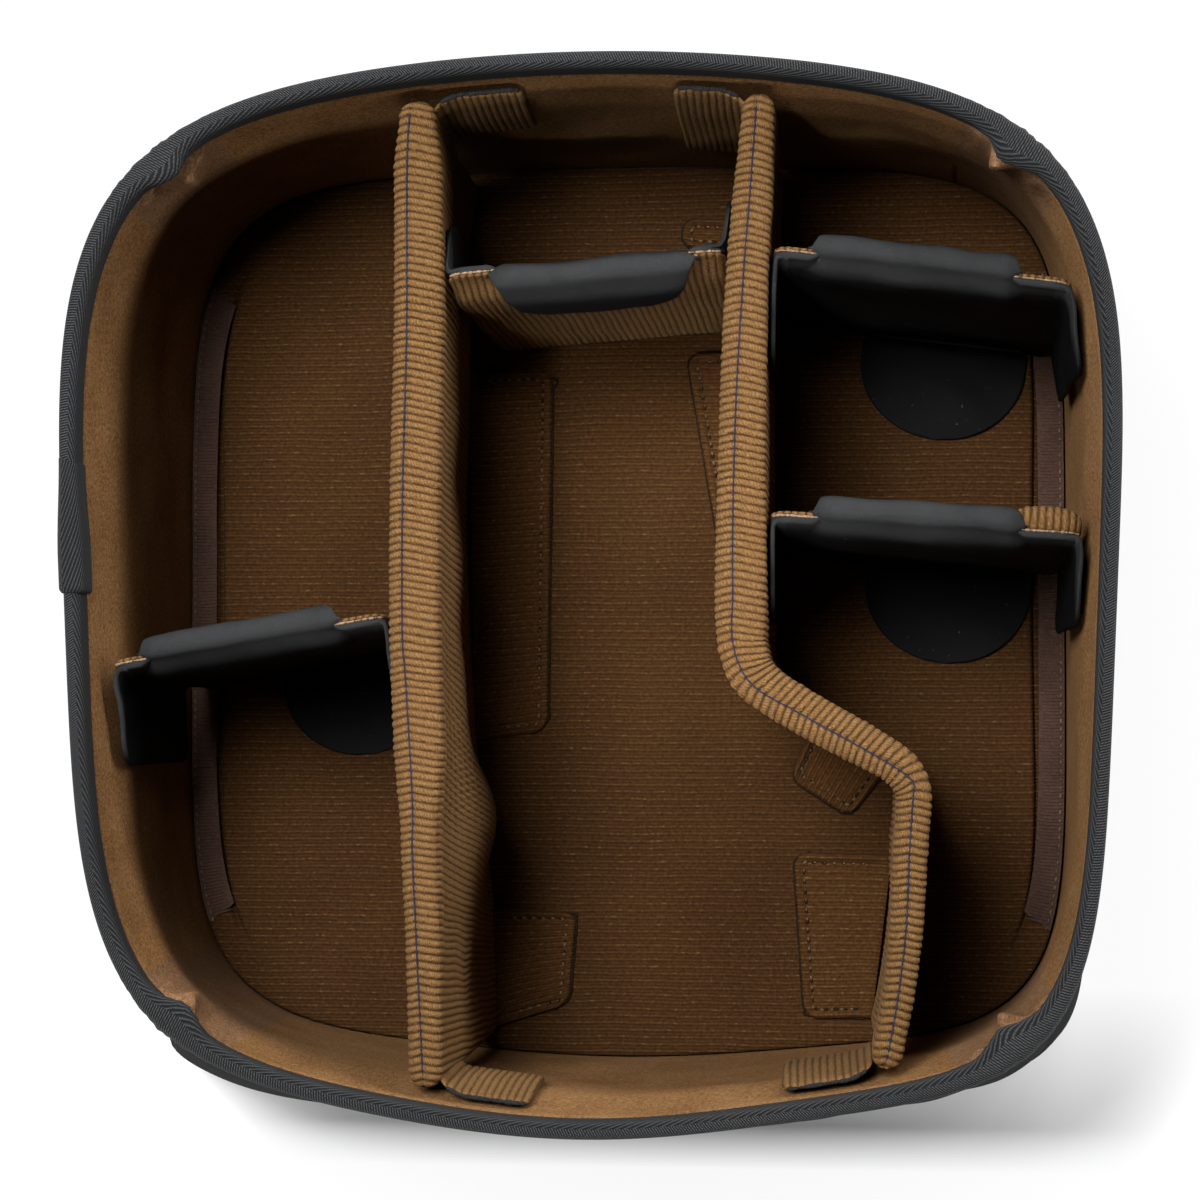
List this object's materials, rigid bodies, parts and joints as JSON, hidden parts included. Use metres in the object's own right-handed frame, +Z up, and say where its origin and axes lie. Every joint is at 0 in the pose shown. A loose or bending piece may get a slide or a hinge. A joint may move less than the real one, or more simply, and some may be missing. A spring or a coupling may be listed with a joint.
{
  "type": "camera bag insert",
  "caption": "Open-topped padded box with a bound rim and soft ribbed and coated dividers that fold at their tabs and lift out, for parting a bag into compartments.",
  "frame": {"origin": "middle of the base's underside, under the middle of the rim", "axes": "+Z up out of the opening, +Y towards the back wall, +X to the right when the opening is seen from above with the back wall at the top"},
  "size_m": [0.2935, 0.3043, 0.14],
  "materials": {
    "coated_skin": "smooth black coated cloth, satin",
    "twill_binding": "dark grey herringbone twill tape, matte",
    "foam": "closed-cell foam padding, hidden",
    "velour": "tan brushed loop velour, matte",
    "loop_fabric": "brown loop fabric with fine rows, matte",
    "seam_tape": "brown grosgrain tape with cross ribs",
    "ribbed_cover": "golden brown ribbed cloth, matte",
    "coated_sheet": "smooth black coated sheet, satin"
  },
  "bodies": {
    "shell": {"base_skin": "coated_skin", "base_foam": "foam", "floor_lining": "loop_fabric", "seam_tape_left": "seam_tape", "seam_tape_right": "seam_tape", "wall_skin": "coated_skin", "wall_foam_back": "foam", "wall_foam_left": "foam", "wall_foam_front": "foam", "wall_foam_right": "foam", "wall_lining_back": "velour", "wall_lining_left": "velour", "wall_lining_front": "velour", "wall_lining_right": "velour", "corner_tuck_back_right": "velour", "corner_tuck_back_left": "velour", "corner_tuck_front_left": "velour", "corner_tuck_front_right": "velour", "rim_binding": "twill_binding"},
    "left_divider": {"left_divider_cover": "ribbed_cover", "left_divider_core": "foam"},
    "right_divider": {"right_divider_cover": "ribbed_cover", "right_divider_core": "foam"},
    "centre_divider": {"centre_divider_panel": "ribbed_cover", "centre_divider_facing": "coated_sheet", "centre_divider_grip": "coated_sheet"},
    "left_bay_divider": {"left_bay_divider_panel": "ribbed_cover", "left_bay_divider_facing": "coated_sheet", "left_bay_divider_grip": "coated_sheet"},
    "back_bay_divider": {"back_bay_divider_panel": "ribbed_cover", "back_bay_divider_facing": "coated_sheet", "back_bay_divider_grip": "coated_sheet"},
    "middle_bay_divider": {"middle_bay_divider_panel": "ribbed_cover", "middle_bay_divider_facing": "coated_sheet", "middle_bay_divider_grip": "coated_sheet"},
    "left_divider_back_flap": {"left_divider_tab_back": "ribbed_cover"},
    "left_divider_front_flap": {"left_divider_tab_front": "ribbed_cover"},
    "left_divider_long_floor_flap": {"left_divider_floor_tab_long": "ribbed_cover"},
    "left_divider_front_floor_flap": {"left_divider_floor_tab_front": "ribbed_cover"},
    "right_divider_back_flap": {"right_divider_tab_back": "ribbed_cover"},
    "right_divider_front_flap": {"right_divider_tab_front": "ribbed_cover"},
    "right_divider_back_floor_flap": {"right_divider_floor_tab_back": "ribbed_cover"},
    "right_divider_middle_floor_flap": {"right_divider_floor_tab_middle": "ribbed_cover"},
    "right_divider_bend_floor_flap": {"right_divider_floor_tab_bend": "ribbed_cover"},
    "right_divider_front_floor_flap": {"right_divider_floor_tab_front": "ribbed_cover"},
    "centre_divider_left_flap": {"centre_divider_flange_left": "coated_sheet"},
    "centre_divider_right_flap": {"centre_divider_flange_right": "coated_sheet"},
    "left_bay_divider_left_flap": {"left_bay_divider_flange_left": "coated_sheet"},
    "left_bay_divider_right_flap": {"left_bay_divider_flange_right": "coated_sheet"},
    "left_bay_divider_floor_flap": {"left_bay_divider_tongue": "coated_sheet"},
    "back_bay_divider_left_flap": {"back_bay_divider_flange_left": "coated_sheet"},
    "back_bay_divider_right_flap": {"back_bay_divider_flange_right": "coated_sheet"},
    "back_bay_divider_floor_flap": {"back_bay_divider_tongue": "coated_sheet"},
    "middle_bay_divider_left_flap": {"middle_bay_divider_flange_left": "coated_sheet"},
    "middle_bay_divider_right_flap": {"middle_bay_divider_flange_right": "coated_sheet"},
    "middle_bay_divider_floor_flap": {"middle_bay_divider_tongue": "coated_sheet"}
  },
  "joints": [
    {"name": "left_divider_lift", "type": "slide", "parent": "shell", "child": "left_divider", "axis": [0, 0, 1], "range_m": [0, 0.15]},
    {"name": "right_divider_lift", "type": "slide", "parent": "shell", "child": "right_divider", "axis": [0, 0, 1], "range_m": [0, 0.15]},
    {"name": "centre_divider_lift", "type": "slide", "parent": "shell", "child": "centre_divider", "axis": [0, 0, 1], "range_m": [0, 0.15]},
    {"name": "left_bay_divider_lift", "type": "slide", "parent": "shell", "child": "left_bay_divider", "axis": [0, 0, 1], "range_m": [0, 0.15]},
    {"name": "back_bay_divider_lift", "type": "slide", "parent": "shell", "child": "back_bay_divider", "axis": [0, 0, 1], "range_m": [0, 0.15]},
    {"name": "middle_bay_divider_lift", "type": "slide", "parent": "shell", "child": "middle_bay_divider", "axis": [0, 0, 1], "range_m": [0, 0.15]},
    {"name": "left_divider_back_fold", "type": "hinge", "parent": "left_divider", "child": "left_divider_back_flap", "pos_m": [-0.04138, 0.13724, 0.1065], "axis": [0, 0, -1], "range_deg": [0, 60]},
    {"name": "left_divider_front_fold", "type": "hinge", "parent": "left_divider", "child": "left_divider_front_flap", "pos_m": [-0.03891, -0.13594, 0.1065], "axis": [0, 0, 1], "range_deg": [0, 60]},
    {"name": "left_divider_long_floor_fold", "type": "hinge", "parent": "left_divider", "child": "left_divider_long_floor_flap", "pos_m": [-0.04791, 0.0763, 0.0108], "axis": [0.0191, -0.9998, 0], "range_deg": [0, 75]},
    {"name": "left_divider_front_floor_fold", "type": "hinge", "parent": "left_divider", "child": "left_divider_front_floor_flap", "pos_m": [-0.04003, -0.09515, 0.0108], "axis": [0.0395, -0.9992, 0], "range_deg": [0, 75]},
    {"name": "right_divider_back_fold", "type": "hinge", "parent": "right_divider", "child": "right_divider_back_flap", "pos_m": [0.04301, 0.13707, 0.09], "axis": [0, 0, 1], "range_deg": [0, 60]},
    {"name": "right_divider_front_fold", "type": "hinge", "parent": "right_divider", "child": "right_divider_front_flap", "pos_m": [0.07715, -0.12982, 0.1065], "axis": [0, 0, -1], "range_deg": [0, 60]},
    {"name": "right_divider_back_floor_fold", "type": "hinge", "parent": "right_divider", "child": "right_divider_back_floor_flap", "pos_m": [0.043, 0.1128, 0.0108], "axis": [0.0751, 0.9972, 0], "range_deg": [0, 75]},
    {"name": "right_divider_middle_floor_fold", "type": "hinge", "parent": "right_divider", "child": "right_divider_middle_floor_flap", "pos_m": [0.03903, 0.01805, 0.0108], "axis": [0.0263, 0.9997, 0], "range_deg": [0, 75]},
    {"name": "right_divider_bend_floor_fold", "type": "hinge", "parent": "right_divider", "child": "right_divider_bend_floor_flap", "pos_m": [0.08328, -0.05202, 0.0108], "axis": [-0.8613, 0.5081, 0], "range_deg": [0, 75]},
    {"name": "right_divider_front_floor_fold", "type": "hinge", "parent": "right_divider", "child": "right_divider_front_floor_flap", "pos_m": [0.07793, -0.12898, 0.0108], "axis": [0.1254, 0.9921, 0], "range_deg": [0, 75]},
    {"name": "centre_divider_left_fold", "type": "hinge", "parent": "centre_divider", "child": "centre_divider_left_flap", "pos_m": [-0.0391, 0.09031, 0.0811], "axis": [0, 0, -1], "range_deg": [0, 60]},
    {"name": "centre_divider_right_fold", "type": "hinge", "parent": "centre_divider", "child": "centre_divider_right_flap", "pos_m": [0.03851, 0.09615, 0.0811], "axis": [0, 0, 1], "range_deg": [0, 60]},
    {"name": "left_bay_divider_left_fold", "type": "hinge", "parent": "left_bay_divider", "child": "left_bay_divider_left_flap", "pos_m": [-0.13398, -0.02635, 0.0811], "axis": [0, 0, 1], "range_deg": [0, 60]},
    {"name": "left_bay_divider_right_fold", "type": "hinge", "parent": "left_bay_divider", "child": "left_bay_divider_right_flap", "pos_m": [-0.05618, -0.01255, 0.0811], "axis": [0, 0, -1], "range_deg": [0, 60]},
    {"name": "left_bay_divider_floor_fold", "type": "hinge", "parent": "left_bay_divider", "child": "left_bay_divider_floor_flap", "pos_m": [-0.08444, -0.0176, 0.0105], "axis": [-0.985, -0.1728, 0], "range_deg": [0, 75]},
    {"name": "back_bay_divider_left_fold", "type": "hinge", "parent": "back_bay_divider", "child": "back_bay_divider_left_flap", "pos_m": [0.0519, 0.08883, 0.0811], "axis": [0, 0, 1], "range_deg": [0, 60]},
    {"name": "back_bay_divider_right_fold", "type": "hinge", "parent": "back_bay_divider", "child": "back_bay_divider_right_flap", "pos_m": [0.13375, 0.07795, 0.0811], "axis": [0, 0, -1], "range_deg": [0, 60]},
    {"name": "back_bay_divider_floor_fold", "type": "hinge", "parent": "back_bay_divider", "child": "back_bay_divider_floor_flap", "pos_m": [0.10282, 0.08203, 0.0105], "axis": [-0.9914, 0.1312, 0], "range_deg": [0, 75]},
    {"name": "middle_bay_divider_left_fold", "type": "hinge", "parent": "middle_bay_divider", "child": "middle_bay_divider_left_flap", "pos_m": [0.05116, 0.01505, 0.0811], "axis": [0, 0, 1], "range_deg": [0, 60]},
    {"name": "middle_bay_divider_right_fold", "type": "hinge", "parent": "middle_bay_divider", "child": "middle_bay_divider_right_flap", "pos_m": [0.13564, 0.00921, 0.0811], "axis": [0, 0, -1], "range_deg": [0, 60]},
    {"name": "middle_bay_divider_floor_fold", "type": "hinge", "parent": "middle_bay_divider", "child": "middle_bay_divider_floor_flap", "pos_m": [0.10377, 0.01142, 0.0105], "axis": [-0.9977, 0.0682, 0], "range_deg": [0, 75]}
  ]
}
